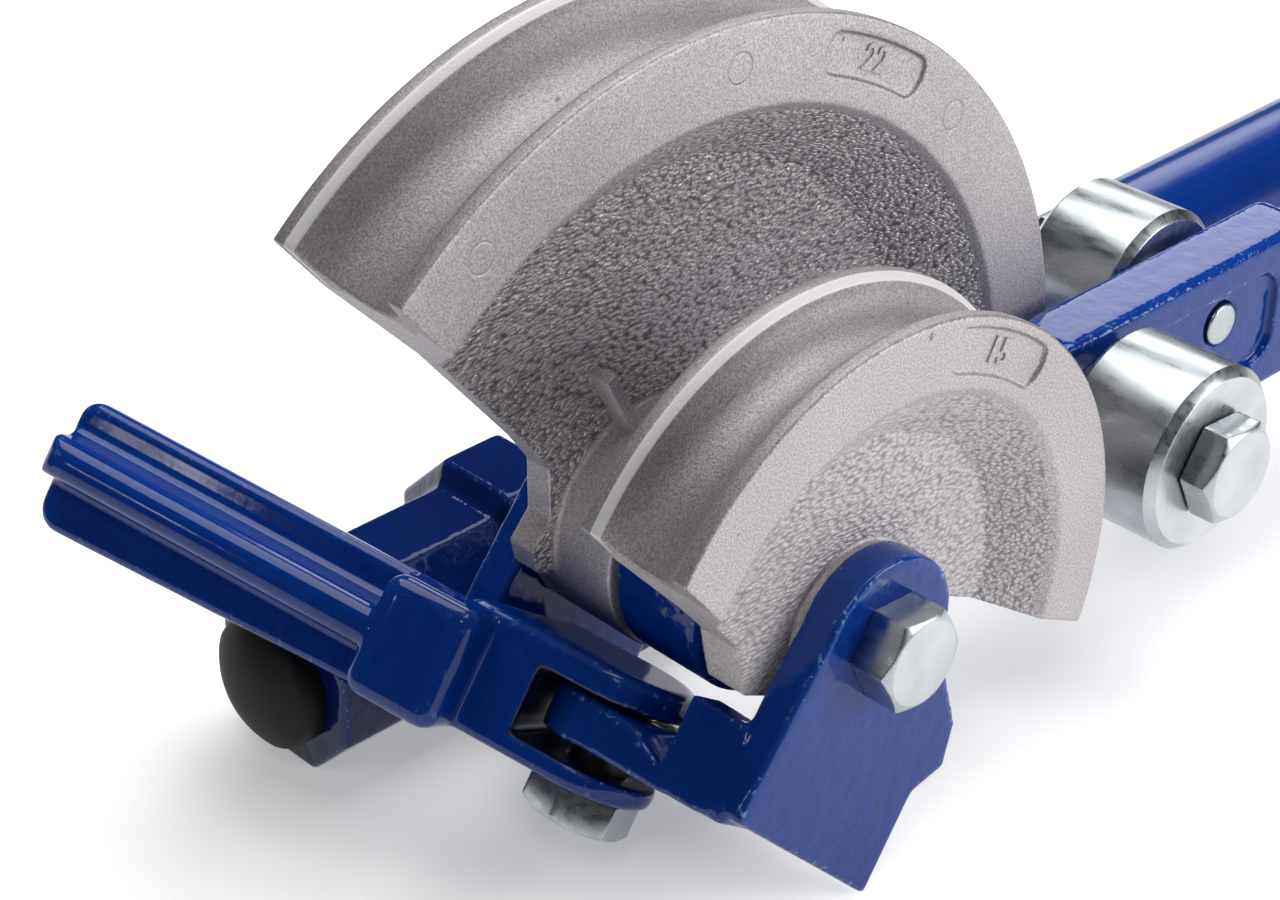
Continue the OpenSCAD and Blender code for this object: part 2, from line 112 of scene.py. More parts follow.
AXLE_SHANK = [(AXLE_R, 76.1), (AXLE_R - 0.5, 76.6)]
SMALL_ROLLER_SHANK = [(5.5, 27.4), (4.2, 27.4), (4.2, 41.6), (3.8, 42.0)]
LARGE_ROLLER_SHANK = [(5.5, 24.3), (4.2, 24.3), (4.2, 36.0), (3.8, 36.4)]
STOP_SHANK = [(5.0, 19.0), (4.6, 19.4)]
YOKE_LEAN = 35.0
PIVOT = (-4.7, 37.5)
STOP_REST = 18.0
FORK_LOW_Z = -44.8
FORK_TOP_Z = -23.6
FORK_R = 12.7
FORK_TIP = 2.0
POCKET_U = 12.0
POCKET_FLOOR = 4.0
POCKET_ROOF = 5.0
STOP_LEN = 108.5
ARM_ROOT_U = 28.0
ARM_P0, ARM_P1 = 8.7, 13.5
FLANGE_P1 = 21.9
BLOCK_P1 = 22.2
BLOCK_U0, BLOCK_U1 = 21.5, 39.5
BLOCK_LOW_Z, BLOCK_TOP_Z = -46, -24.4
PLATE_ROOT_Z, PLATE_END_Z, PLATE_TOP_Z = -46, -48.8, -24.6
FLANGE_LOW_Z, FLANGE_TOP_Z = -38.9, -31.5
FLANGE_FILLET = 1.9
STOP_BORE_R = 5.03
HEX_TURN = -4.0
STOP_HEX_TURN = -26.0
FIXED_GRIP = dict(end_x=560.0, tube_r=14.0, outer_r=17.0)
LEVER_GRIP = dict(end_x=548.0, tube_r=12.5, outer_r=15.5)
GRIP_LEN = 124.0
GRIP_CAP = 5.99
RIB_COUNT = 14
RIB_PITCH = 7.0
RIB_VALLEY = 1.2
RIB_CREST = 0.2
FLOOR_HALF = 4000

# Camera fitted to the photograph
CAMERA_AT = (-290.97, -244.82, 268.62)
CAMERA_AZIMUTH = -44.035
CAMERA_ELEVATION = 31.672
CAMERA_ROLL = 0.353
CAMERA_LENS = 82.63
SENSOR_WIDTH = 36.0

# Lamps: name, place, size in metres and power in watts
LAMP_TARGET = (0.02, 0.04, 0.02)
LAMPS = (("top_box", (0.28, 0.22, 1.10), (1.2, 1.0), 12.0),
         ("front_box", (0.74, -1.02, 0.42), (0.7, 0.6), 8.2),
         ("back_box", (1.14, 0.70, 0.66), (0.55, 0.55), 3.0),
         ("wide_window", (-1.18, 0.325, 0.59), (0.035, 0.09), 0.10),
         ("slim_window", (-1.18, 0.372, 0.59), (0.016, 0.09), 0.045),
         ("fill_box", (-0.55, -0.45, 1.02), (0.28, 0.28), 1.2))
WORLD_LIGHT = 0.05

# Floor glow as the camera sees it: dim near the tool as painted shadow, full beyond, and its level in mirrors
GLOW_CENTRE = (0.06, 0.112, FLOOR_Z * MM)
GLOW_STRETCH = (0.3, 1.6, 1.0)
GLOW_NEAR, GLOW_FAR = 0.085, 0.16
GLOW_PAINTED_SHADE, GLOW_FULL = 0.38, 1.0
GLOW_MIRRORED = 0.42

# Colours
BLUE_LOW = (0.0020, 0.038, 0.290)
BLUE_HIGH = (0.0026, 0.047, 0.345)
BLUE_STREAK = (0.001, 0.020, 0.150)
BLUE_WORN_AND_HIGHLIGHT = (0.020, 0.10, 0.45)
BLUE_CHIP = (0.16, 0.32, 0.62)
ALLOY_LOW = (0.535, 0.495, 0.502)
ALLOY_HIGH = (0.605, 0.565, 0.572)
ALLOY_PIT = (0.20, 0.19, 0.185)
ALLOY_EDGE_HIGHLIGHT = (0.84, 0.81, 0.815)
ALLOY_TINT = (1.0, 0.93, 0.945)
WHITE = (1.0, 1.0, 1.0, 1.0)


# Mesh helpers

def link(name, mesh):
    obj = bpy.data.objects.new(name, mesh)
    bpy.context.scene.collection.objects.link(obj)
    return obj


def tidy_mesh(obj):
    """Joins doubled points and turns all faces outward."""
    work = bmesh.new()
    work.from_mesh(obj.data)
    bmesh.ops.remove_doubles(work, verts=work.verts, dist=1e-7)
    bmesh.ops.dissolve_degenerate(work, edges=work.edges, dist=1e-7)
    bmesh.ops.recalc_face_normals(work, faces=work.faces)
    work.to_mesh(obj.data)
    work.free()


def mesh_from(name, points, faces):
    """New object from points in millimetres."""
    mesh = bpy.data.meshes.new(name)
    mesh.from_pydata([Vector(p) * MM for p in points], [], faces)
    obj = link(name, mesh)
    tidy_mesh(obj)
    return obj


def about_x(radius, along, angle):
    return (along, radius * math.cos(angle), radius * math.sin(angle))


def about_y(radius, along, angle):
    return (radius * math.cos(angle), along, radius * math.sin(angle))


def about_z(radius, along, angle):
    return (radius * math.cos(angle), radius * math.sin(angle), along)


def lathe(name, profile, about, centre=(0, 0, 0), segments=160):
    """Closed profile of (radius, along) points turned about an axis."""
    points = []
    for k in range(segments):
        angle = 2 * math.pi * k / segments
        for radius, along in profile:
            points.append(Vector(about(radius, along, angle)) + Vector(centre))
    count = len(profile)
    faces = []
    for k in range(segments):
        here = k * count
        there = (k + 1) % segments * count
        for i in range(count):
            j = (i + 1) % count
            faces.append((here + i, here + j, there + j, there + i))
    return mesh_from(name, points, faces)


def prism(name, outline, lo, hi, axis="Y"):
    """Flat outline drawn out along an axis; the outline gives the other two directions in order."""
    if axis == "X":
        points = [(t, a, b) for t in (lo, hi) for a, b in outline]
    elif axis == "Y":
        points = [(a, t, b) for t in (lo, hi) for a, b in outline]
    else:
        points = [(a, b, t) for t in (lo, hi) for a, b in outline]
    count = len(outline)
    faces = [tuple(range(count)), tuple(range(2 * count - 1, count - 1, -1))]
    for i in range(count):
        j = (i + 1) % count
        faces.append((i, i + count, j + count, j))
    return mesh_from(name, points, faces)


def rounded(corners, steps=6):
    """Closed outline whose corners (x, y, radius) are rounded."""
    out = []
    count = len(corners)
    for i, (x, y, radius) in enumerate(corners):
        here = Vector((x, y))
        if radius <= 0:
            out.append((x, y))
            continue
        before = (Vector(corners[i - 1][:2]) - here).normalized()
        after = (Vector(corners[(i + 1) % count][:2]) - here).normalized()
        half = before.angle(after) / 2
        reach = radius / math.tan(half)
        centre = here + (before + after).normalized() * (radius / math.sin(half))
        first = here + before * reach - centre
        last = here + after * reach - centre
        sweep = first.angle_signed(last)
        for k in range(steps + 1):
            spoke = first.copy()
            spoke.rotate(Matrix.Rotation(-sweep * k / steps, 2))
            out.append(tuple(centre + spoke))
    return out


def soft_rectangle(x0, x1, z0, z1, radius):
    return rounded([(x0, z0, radius), (x1, z0, radius), (x1, z1, radius), (x0, z1, radius)])


def rounded_box(name, low, high, radius):
    """Box with all its edges rounded."""
    work = bmesh.new()
    bmesh.ops.create_cube(work, size=1.0)
    low, high = Vector(low) * MM, Vector(high) * MM
    for vert in work.verts:
        vert.co = (low + high) / 2 + Vector(a * b for a, b in zip(vert.co, high - low))
    bmesh.ops.bevel(work, geom=work.edges[:], offset=radius * MM, segments=6, profile=0.5,
                    affect="EDGES")
    mesh = bpy.data.meshes.new(name)
    work.to_mesh(mesh)
    work.free()
    return link(name, mesh)


def apply_modifiers(obj):
    """Bakes the object's modifiers into its own mesh."""
    graph = bpy.context.evaluated_depsgraph_get()
    baked = bpy.data.meshes.new_from_object(obj.evaluated_get(graph))
    obj.modifiers.clear()
    obj.data = baked


def boolean(obj, tool, operation):
    """Cuts or joins obj with tool, which is then removed."""
    step = obj.modifiers.new("boolean", "BOOLEAN")
    step.operation = operation
    step.object = tool
    step.solver = "EXACT"
    apply_modifiers(obj)
    bpy.data.objects.remove(tool)


def round_edges(obj, radius, limit=30):
    """Rounds every edge that turns by more than the limit."""
    bevel = obj.modifiers.new("round", "BEVEL")
    bevel.width = radius * MM
    bevel.segments = 5
    bevel.limit_method = "ANGLE"
    bevel.angle_limit = math.radians(limit)
    apply_modifiers(obj)


def join(obj, *others):
    """Puts other shapes into obj's mesh; casting it again makes them one skin."""
    work = bmesh.new()
    for piece in (obj, *others):
        work.from_mesh(piece.data)
    work.to_mesh(obj.data)
    work.free()
    for piece in others:
        bpy.data.objects.remove(piece)


def soften(obj, voxel, rounds, keep, place=Matrix()):
    """Casts a hard-edged shape again, in its own place, with rounded edges and filled corners."""
    obj.data.transform(place.inverted())
    remesh = obj.modifiers.new("remesh", "REMESH")
    remesh.mode = "VOXEL"
    remesh.voxel_size = voxel * MM
    smooth = obj.modifiers.new("smooth", "SMOOTH")
    smooth.factor = 0.5
    smooth.iterations = rounds
    thin = obj.modifiers.new("thin", "DECIMATE")
    thin.ratio = keep
    apply_modifiers(obj)
    obj.data.transform(place)
    obj.data.shade_smooth()


def crisp(obj, width=0.0, limit=25):
    """Machined finish: a fine bevel on the edges, smooth shading between them."""
    if width > 0:
        bevel = obj.modifiers.new("bevel", "BEVEL")
        bevel.width = width * MM
        bevel.segments = 2
        bevel.limit_method = "ANGLE"
        bevel.angle_limit = math.radians(limit)
        apply_modifiers(obj)
    obj.data.shade_smooth()
    obj.data.set_sharp_from_angle(angle=math.radians(limit))


def copy_node(node):
    """A new mesh object with the CAD node's shape, its own to work on."""
    obj = link(node + "_piece", NODES[node].data.copy())
    obj.data.materials.clear()
    tidy_mesh(obj)
    return obj


def dress(obj, body, slot, materials, *nodes):
    """Gives a piece its body and materials, and hides the CAD nodes it stands for; the slot is not used."""
    for material in materials:
        obj.data.materials.append(material)
    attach(obj, body)
    if nodes:
        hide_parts(*nodes)


# Material helpers

def new_material(name):
    material = bpy.data.materials.new(name)
    material.use_nodes = True
    tree = material.node_tree
    place = tree.nodes.new("ShaderNodeTexCoord")
    return material, tree, tree.nodes["Principled BSDF"], place.outputs["Object"]


def noise(tree, place, scale, detail=3.0, distortion=0.0):
    node = tree.nodes.new("ShaderNodeTexNoise")
    node.inputs["Scale"].default_value = scale
    node.inputs["Detail"].default_value = detail
    node.inputs["Distortion"].default_value = distortion
    tree.links.new(place, node.inputs["Vector"])
    return node.outputs["Fac"]


def stretched(tree, place, scale):
    """Texture place drawn out by a different amount along each axis."""
    node = tree.nodes.new("ShaderNodeMapping")
    node.inputs["Scale"].default_value = scale
    tree.links.new(place, node.inputs["Vector"])
    return node.outputs["Vector"]


def warped(tree, place, scale, amount):
    """Texture place pushed about by noise."""
    push = tree.nodes.new("ShaderNodeTexNoise")
    push.inputs["Scale"].default_value = scale
    tree.links.new(place, push.inputs["Vector"])
    node = tree.nodes.new("ShaderNodeVectorMath")
    node.operation = "MULTIPLY_ADD"
    node.inputs[1].default_value = (amount * MM, amount * MM, amount * MM)
    tree.links.new(push.outputs["Color"], node.inputs[0])
    tree.links.new(place, node.inputs[2])
    return node.outputs["Vector"]


def cells(tree, place, scale):
    """Distance from the middle of soft-edged cells."""
    node = tree.nodes.new("ShaderNodeTexVoronoi")
    node.feature = "SMOOTH_F1"
    node.inputs["Scale"].default_value = scale
    node.inputs["Smoothness"].default_value = 0.25
    tree.links.new(place, node.inputs["Vector"])
    return node.outputs["Distance"]


def ramp(tree, value, stops):
    node = tree.nodes.new("ShaderNodeValToRGB")
    elements = node.color_ramp.elements
    while len(elements) < len(stops):
        elements.new(0.5)
    for element, (at, colour) in zip(elements, stops):
        element.position = at
        element.color = (*colour, 1.0)
    tree.links.new(value, node.inputs["Fac"])
    return node.outputs["Color"]


def spread(tree, value, low, high, start=0.0, end=1.0):
    """Value between start and end spread to low and high, and held there beyond."""
    node = tree.nodes.new("ShaderNodeMapRange")
    node.inputs["From Min"].default_value = start
    node.inputs["From Max"].default_value = end
    node.inputs["To Min"].default_value = low
    node.inputs["To Max"].default_value = high
    tree.links.new(value, node.inputs["Value"])
    return node.outputs["Result"]


def math_node(tree, operation, first, second):
    node = tree.nodes.new("ShaderNodeMath")
    node.operation = operation
    for socket, value in zip(node.inputs, (first, second)):
        if isinstance(value, (int, float)):
            socket.default_value = value
        else:
            tree.links.new(value, socket)
    return node.outputs["Value"]


def bump(tree, height, strength, depth, below=None):
    node = tree.nodes.new("ShaderNodeBump")
    node.inputs["Strength"].default_value = strength
    node.inputs["Distance"].default_value = depth * MM
    tree.links.new(height, node.inputs["Height"])
    if below:
        tree.links.new(below, node.inputs["Normal"])
    return node.outputs["Normal"]


def blend_colour(tree, amount, first, second):
    """Colour mix whose ends are fixed colours or sockets."""
    node = tree.nodes.new("ShaderNodeMix")
    node.data_type = "RGBA"
    tree.links.new(amount, node.inputs[0])
    ends = [socket for socket in node.inputs if socket.type == "RGBA"]
    for socket, colour in zip(ends, (first, second)):
        if isinstance(colour, tuple):
            socket.default_value = (*colour, 1.0)
        else:
            tree.links.new(colour, socket)
    return [socket for socket in node.outputs if socket.type == "RGBA"][0]


def paint_material(name, chips, peel_depth, gloss, depth=1.0):
    """Deep blue enamel with an orange-peel ripple; the depth scales its brightness, and a depth below one
    darkens it as painted shade.

    With chips it is streaky, and worn and chipped along its edges; the lighter blue on its edges is partly
    wear and partly painted highlight.
    """
    material, tree, shader, place = new_material(name)
    cloud = noise(tree, place, 60.0, 4.0)
    low = (BLUE_LOW[0], BLUE_LOW[1] * depth, BLUE_LOW[2] * depth)
    high = (BLUE_HIGH[0], BLUE_HIGH[1] * depth, BLUE_HIGH[2] * depth)
    colour = ramp(tree, cloud, [(0.3, low), (0.7, high)])
    if chips:
        streak = noise(tree, stretched(tree, place, (1.0, 1.0, 0.4)), 650.0, 3.0)
        colour = blend_colour(tree, spread(tree, streak, 0.0, 0.45, 0.45, 0.75), colour, BLUE_STREAK)
        edge = tree.nodes.new("ShaderNodeNewGeometry").outputs["Pointiness"]
        # Lighter blue along all rounded edges: partly wear, partly painted highlight.
        worn = spread(tree, edge, 0.0, 1.0, 0.505, 0.525)
        colour = blend_colour(tree, math_node(tree, "MULTIPLY", worn, 0.25), colour, BLUE_WORN_AND_HIGHLIGHT)
        speck = spread(tree, noise(tree, place, 800.0, 5.0), 0.0, 1.0, 0.61, 0.64)
        colour = blend_colour(tree, math_node(tree, "MULTIPLY", worn, speck), colour, BLUE_CHIP)
    tree.links.new(colour, shader.inputs["Base Color"])
    rough = spread(tree, noise(tree, place, 35.0, 3.0), gloss, gloss + 0.08)
    tree.links.new(rough, shader.inputs["Roughness"])
    wave = bump(tree, noise(tree, place, 300.0, 2.0, 0.3), 0.50, peel_depth)
    fine = bump(tree, noise(tree, place, 900.0, 2.0), 0.10, 0.06, wave)
    tree.links.new(fine, shader.inputs["Normal"])
    shader.inputs["IOR"].default_value = 1.42
    return material


def pocket_shade_material():
    """Near-black blue inside the fork's pocket: painted shade where little light gets in."""
    material, tree, shader, place = new_material("pocket_painted_shade")
    cloud = noise(tree, place, 300.0, 4.0)
    colour = ramp(tree, cloud, [(0.35, (0.0010, 0.0045, 0.022)), (0.7, (0.0016, 0.010, 0.060))])
    tree.links.new(colour, shader.inputs["Base Color"])
    tree.links.new(spread(tree, cloud, 0.22, 0.45), shader.inputs["Roughness"])
    tree.links.new(bump(tree, cloud, 0.3, 0.2), shader.inputs["Normal"])
    return material


def ring_marks(tree, place, centres, radius):
    """Height of thin ring grooves round the given centres."""
    total = None
    for centre in centres:
        node = tree.nodes.new("ShaderNodeVectorMath")
        node.operation = "DISTANCE"
        node.inputs[1].default_value = [c * MM for c in centre]
        tree.links.new(place, node.inputs[0])
        off = math_node(tree, "SUBTRACT", node.outputs["Value"], radius * MM)
        off = math_node(tree, "ABSOLUTE", off, 0.0)
        groove = spread(tree, off, 0.0, 1.0, 0.0, 0.3 * MM)
        total = groove if total is None else math_node(tree, "MINIMUM", total, groove)
    return total


def alloy_material(name, tone, marks=(), size=None):
    """Blasted cast alloy: fine grain, a soft sheen and a few pits; the tone scales its brightness, and a tone
    below one is painted shade.

    Given a former's sizes, the chamfer at the far side of its groove is painted near white and less metallic:
    a machined edge with a painted highlight.
    """
    material, tree, shader, place = new_material(name)
    cloud = noise(tree, place, 45.0, 5.0)
    grain = noise(tree, place, 2600.0, 2.0)
    colour = ramp(tree, cloud, [(0.30, ALLOY_LOW), (0.72, ALLOY_HIGH)])
    shade = spread(tree, grain, 0.66 * tone, 1.28 * tone, 0.3, 0.7)
    tint = tree.nodes.new("ShaderNodeVectorMath")
    tint.operation = "SCALE"
    tree.links.new(colour, tint.inputs[0])
    tree.links.new(shade, tint.inputs["Scale"])
    pits = spread(tree, noise(tree, place, 240.0, 4.0), 0.0, 1.0, 0.735, 0.76)
    colour = blend_colour(tree, pits, tint.outputs["Vector"], ALLOY_PIT)
    shader.inputs["Metallic"].default_value = 0.7
    if size:
        # Near-white chamfer, less metallic: painted highlight on the machined edge.
        edge = machined_edge_highlight(tree, place, size)
        colour = blend_colour(tree, edge, colour, ALLOY_EDGE_HIGHLIGHT)
        tree.links.new(spread(tree, edge, 0.7, 0.3), shader.inputs["Metallic"])
    tree.links.new(colour, shader.inputs["Base Color"])
    tree.links.new(spread(tree, cloud, 0.52, 0.62), shader.inputs["Roughness"])
    normal = bump(tree, grain, 0.55, 0.12)
    normal = bump(tree, noise(tree, place, 420.0, 3.0), 0.10, 0.15, normal)
    if marks:
        normal = bump(tree, ring_marks(tree, place, marks, RING_MARK_R), 0.7, 0.18, normal)
    tree.links.new(normal, shader.inputs["Normal"])
    return material


def machined_edge_highlight(tree, place, size):
    """Mask of a painted highlight on a machined edge: one on the chamfer at the far side of a former's groove,
    zero elsewhere round its edge.
    """
    split = tree.nodes.new("ShaderNodeSeparateXYZ")
    tree.links.new(place, split.inputs["Vector"])
    mid = (size["y0"] + size["width"] / 2) * MM
    off = math_node(tree, "SUBTRACT", split.outputs["Y"], mid)
    start = size["groove_r"] * MM
    end = start + EDGE_CHAMFER * MM
    rise = spread(tree, off, 0.0, 1.0, start - 0.12 * MM, start - 0.04 * MM)
    fall = spread(tree, off, 1.0, 0.0, end - 0.04 * MM, end + 0.04 * MM)
    return math_node(tree, "MULTIPLY", rise, fall)


def wrinkle_material(name, tone, crease_shade, depth, metal, rough):
    """As-cast alloy web with a wrinkled, leathery skin whose creases are painted darker than its folds, as
    painted shade.
    """
    material, tree, shader, place = new_material(name)
    place = stretched(tree, warped(tree, place, 700.0, 0.8), (0.52, 1.0, 1.10))
    folds = spread(tree, cells(tree, place, 1500.0), 1.0, 0.0, 0.10, 0.88)
    tint = Vector(ALLOY_TINT) * tone
    greys = ((0.05, crease_shade), (0.42, 0.55), (1.0, 0.76))
    colour = ramp(tree, folds, [(at, tint * grey) for at, grey in greys])
    tree.links.new(colour, shader.inputs["Base Color"])
    shader.inputs["Metallic"].default_value = metal
    tree.links.new(spread(tree, folds, rough + 0.16, rough), shader.inputs["Roughness"])
    normal = bump(tree, noise(tree, place, 3200.0, 2.0), 0.20, 0.06)
    normal = bump(tree, folds, 1.0, depth, normal)
    tree.links.new(normal, shader.inputs["Normal"])
    return material


def zinc_material(name, low, high, rough):
    """Zinc plate with faint scuffs and a bluish cast."""
    material, tree, shader, place = new_material(name)
    cloud = noise(tree, place, 110.0, 5.0)
    colour = ramp(tree, cloud, [(0.3, low), (0.7, high)])
    tree.links.new(colour, shader.inputs["Base Color"])
    shader.inputs["Metallic"].default_value = 1.0
    scuff = noise(tree, stretched(tree, place, (1.0, 0.25, 1.0)), 700.0, 4.0)
    tree.links.new(spread(tree, scuff, rough, rough + 0.16, 0.3, 0.7), shader.inputs["Roughness"])
    normal = bump(tree, scuff, 0.05, 0.03)
    normal = bump(tree, noise(tree, place, 160.0, 2.0), 0.03, 0.12, normal)
    tree.links.new(normal, shader.inputs["Normal"])
    return material


def bronze_material():
    """Plain turned bronze."""
    material, tree, shader, place = new_material("turned_bronze")
    cloud = noise(tree, place, 120.0, 4.0)
    colour = ramp(tree, cloud, [(0.3, (0.40, 0.25, 0.09)), (0.7, (0.52, 0.34, 0.14))])
    tree.links.new(colour, shader.inputs["Base Color"])
    shader.inputs["Metallic"].default_value = 1.0
    tree.links.new(spread(tree, cloud, 0.25, 0.40), shader.inputs["Roughness"])
    return material


def rubber_material():
    """Matt black moulded rubber with a brownish bloom."""
    material, tree, shader, place = new_material("black_rubber")
    cloud = noise(tree, place, 70.0, 5.0)
    colour = ramp(tree, cloud, [(0.3, (0.0062, 0.0053, 0.0051)), (0.75, (0.013, 0.0112, 0.0108))])
    tree.links.new(colour, shader.inputs["Base Color"])
    tree.links.new(spread(tree, cloud, 0.48, 0.66), shader.inputs["Roughness"])
    shader.inputs["Specular IOR Level"].default_value = 0.25
    tree.links.new(bump(tree, noise(tree, place, 1800.0, 3.0), 0.15, 0.06), shader.inputs["Normal"])
    return material


LARGE_MARKS = [about_y(RING_MARKS_AT, LARGE["y0"], math.radians(angle)) for angle in RING_MARK_ANGLES]
CAST_PAINT = paint_material("cast_enamel", chips=True, peel_depth=0.34, gloss=0.04)
# The socket's enamel is the same blue darkened to 0.42: painted shade.
SOCKET_SHADED_PAINT = paint_material("socket_enamel_painted_shade", chips=True, peel_depth=0.45, gloss=0.04, depth=0.42)
STOP_PAINT = paint_material("stop_enamel", chips=True, peel_depth=0.03, gloss=0.04)
POCKET_SHADE = pocket_shade_material()
TUBE_PAINT = paint_material("tube_enamel", chips=False, peel_depth=0.10, gloss=0.16)
SMALL_ALLOY = alloy_material("small_blasted_alloy", tone=1.0)
LARGE_ALLOY = alloy_material("large_blasted_alloy", tone=1.0, marks=LARGE_MARKS)
# The groove alloy is the same alloy at a lower tone: painted shade in the grooves.
SMALL_GROOVE_SHADED = alloy_material("small_groove_alloy_painted_shade", tone=0.68, size=SMALL)
LARGE_GROOVE_SHADED = alloy_material("large_groove_alloy_painted_shade", tone=0.72, size=LARGE)
# The small web's higher tone is painted light; the large web's darker creases are painted shade.
SMALL_WRINKLE = wrinkle_material("small_wrinkled_alloy", tone=1.15, crease_shade=0.38, depth=0.42,
                                 metal=0.5, rough=0.58)
LARGE_WRINKLE = wrinkle_material("large_wrinkled_alloy", tone=1.0, crease_shade=0.24, depth=0.75,
                                 metal=0.8, rough=0.42)
ZINC = zinc_material("zinc_plate", (0.40, 0.44, 0.465), (0.52, 0.56, 0.58), rough=0.22)
OILED = zinc_material("oiled_shank", (0.045, 0.045, 0.047), (0.085, 0.085, 0.088), rough=0.38)
ZINC_FACE = zinc_material("zinc_face", (0.52, 0.54, 0.555), (0.64, 0.66, 0.67), rough=0.26)
BRONZE = bronze_material()
RUBBER = rubber_material()
LOOKS = {"blue_paint": TUBE_PAINT, "cast_alloy": SMALL_ALLOY, "zinc": ZINC, "bronze": BRONZE,
         "black_rubber": RUBBER}

# Every CAD node starts with its slot's material
for part in frame["record"]["subparts"]:
    mesh = NODES[part["node"]].data
    mesh.materials.clear()
    mesh.materials.append(LOOKS[part["material_slot"]])


# Painted castings

def leaning():
    """Frame of the yoke, which leans towards the handles."""
    return Matrix.Rotation(math.radians(YOKE_LEAN), 4, "Y")


def stop_frame():
    """Frame of the stop arm: X along the arm, Y out of it, Z along its pivot."""
    pivot = Matrix.Translation(Vector((*PIVOT, 0)) * MM)
    return leaning() @ pivot @ Matrix.Rotation(math.radians(90 + STOP_REST), 4, "Z")


def build_yoke():
    yoke = copy_node("yoke")
    soften(yoke, voxel=0.5, rounds=22, keep=0.4, place=leaning())
    dress(yoke, "frame", "blue_paint", [CAST_PAINT], "yoke")


def build_socket():
    """Eight-sided handle socket with its collar; the facet that could carry a name is left bare. Its enamel is
    painted darker, as painted shade.
    """
    socket = copy_node("handle_socket")
    soften(socket, voxel=0.5, rounds=18, keep=0.4)
    dress(socket, "frame", "blue_paint", [SOCKET_SHADED_PAINT], "handle_socket")


def build_lever():
    """Lever head: hub, neck, bar with sunk side panels, and the spigot in its tube."""
    lever = prism("lever_head_piece", soft_rectangle(BAR_X0, BAR_X1, BAR_Z0, BAR_Z1, radius=6), BAR_Y0, BAR_Y1)
    round_edges(lever, radius=1.8)
    neck = rounded_box("neck", (-8, BAR_Y0, BAR_Z - NECK_HALF),
                       (BAR_X0 + 12, BAR_Y1, BAR_Z + NECK_HALF), radius=2.0)
    boolean(lever, neck, "UNION")
    profile = rounded([(0, LEVER_Y0, 0), (LEVER_HUB_R, LEVER_Y0, 1.2), (LEVER_HUB_R, LEVER_Y1, 1.2),
                       (0, LEVER_Y1, 0)])
    boolean(lever, lathe("hub", profile, about_y, segments=128), "UNION")
    root_x = BAR_X1 - 6
    end_x = BAR_X1 + SPIGOT_LEN
    profile = [(0, root_x), (SPIGOT_R, root_x), (SPIGOT_R, end_x), (0, end_x)]
    boolean(lever, lathe("spigot", profile, about_x, (0, BAR_Y, BAR_Z), 96), "UNION")
    outline = soft_rectangle(PANEL_X0, PANEL_X1, BAR_Z - PANEL_HALF, BAR_Z + PANEL_HALF, radius=6)
    for lo, hi in ((BAR_Y0 - 1, BAR_Y0 + PANEL_DEPTH), (BAR_Y1 - PANEL_DEPTH, BAR_Y1 + 1)):
        boolean(lever, prism("panel", outline, lo, hi), "DIFFERENCE")
    bores = [(0, 0, LEVER_BORE_R), (SMALL_ROLLER[0], 0, BOLT_BORE_R), (LARGE_ROLLER[0], 0, BOLT_BORE_R)]
    bores += [(x, BAR_Z, PIN_BORE_R) for x in PIN_X]
    for x, z, radius in bores:
        bore = lathe("bore", [(0, 0), (radius, 0), (radius, 60), (0, 60)], about_y, (x, 0, z), 64)
        boolean(lever, bore, "DIFFERENCE")
    soften(lever, voxel=0.5, rounds=9, keep=0.5)
    dress(lever, "lever", "blue_paint", [CAST_PAINT], "lever_head")


def build_fork():
    """Fork of the stop arm, with the pocket that closes over the yoke's tongue."""
    steps = 40
    outline = []
    for k in range(steps + 1):
        angle = math.pi * (0.5 + k / steps)
        outline.append((FORK_TIP + FORK_R * math.cos(angle), FORK_R * math.sin(angle)))
    outline += [(18, -FORK_R), (25, 2.5), (ARM_ROOT_U, FORK_R / 2), (ARM_ROOT_U, FORK_R)]
    fork = prism("fork", outline, FORK_LOW_Z, FORK_TOP_Z, "Z")
    round_edges(fork, radius=1.8)
    pocket = rounded_box("pocket", (-30, -30, FORK_LOW_Z + POCKET_FLOOR),
                         (POCKET_U, 30, FORK_TOP_Z - POCKET_ROOF), radius=1.2)
    boolean(fork, pocket, "DIFFERENCE")
    low, top = FORK_LOW_Z - 1, FORK_TOP_Z - 1.5
    bore = [(0, low), (STOP_BORE_R, low), (STOP_BORE_R, top), (0, top)]
    boolean(fork, lathe("bore", bore, about_z, segments=64), "DIFFERENCE")
    return fork


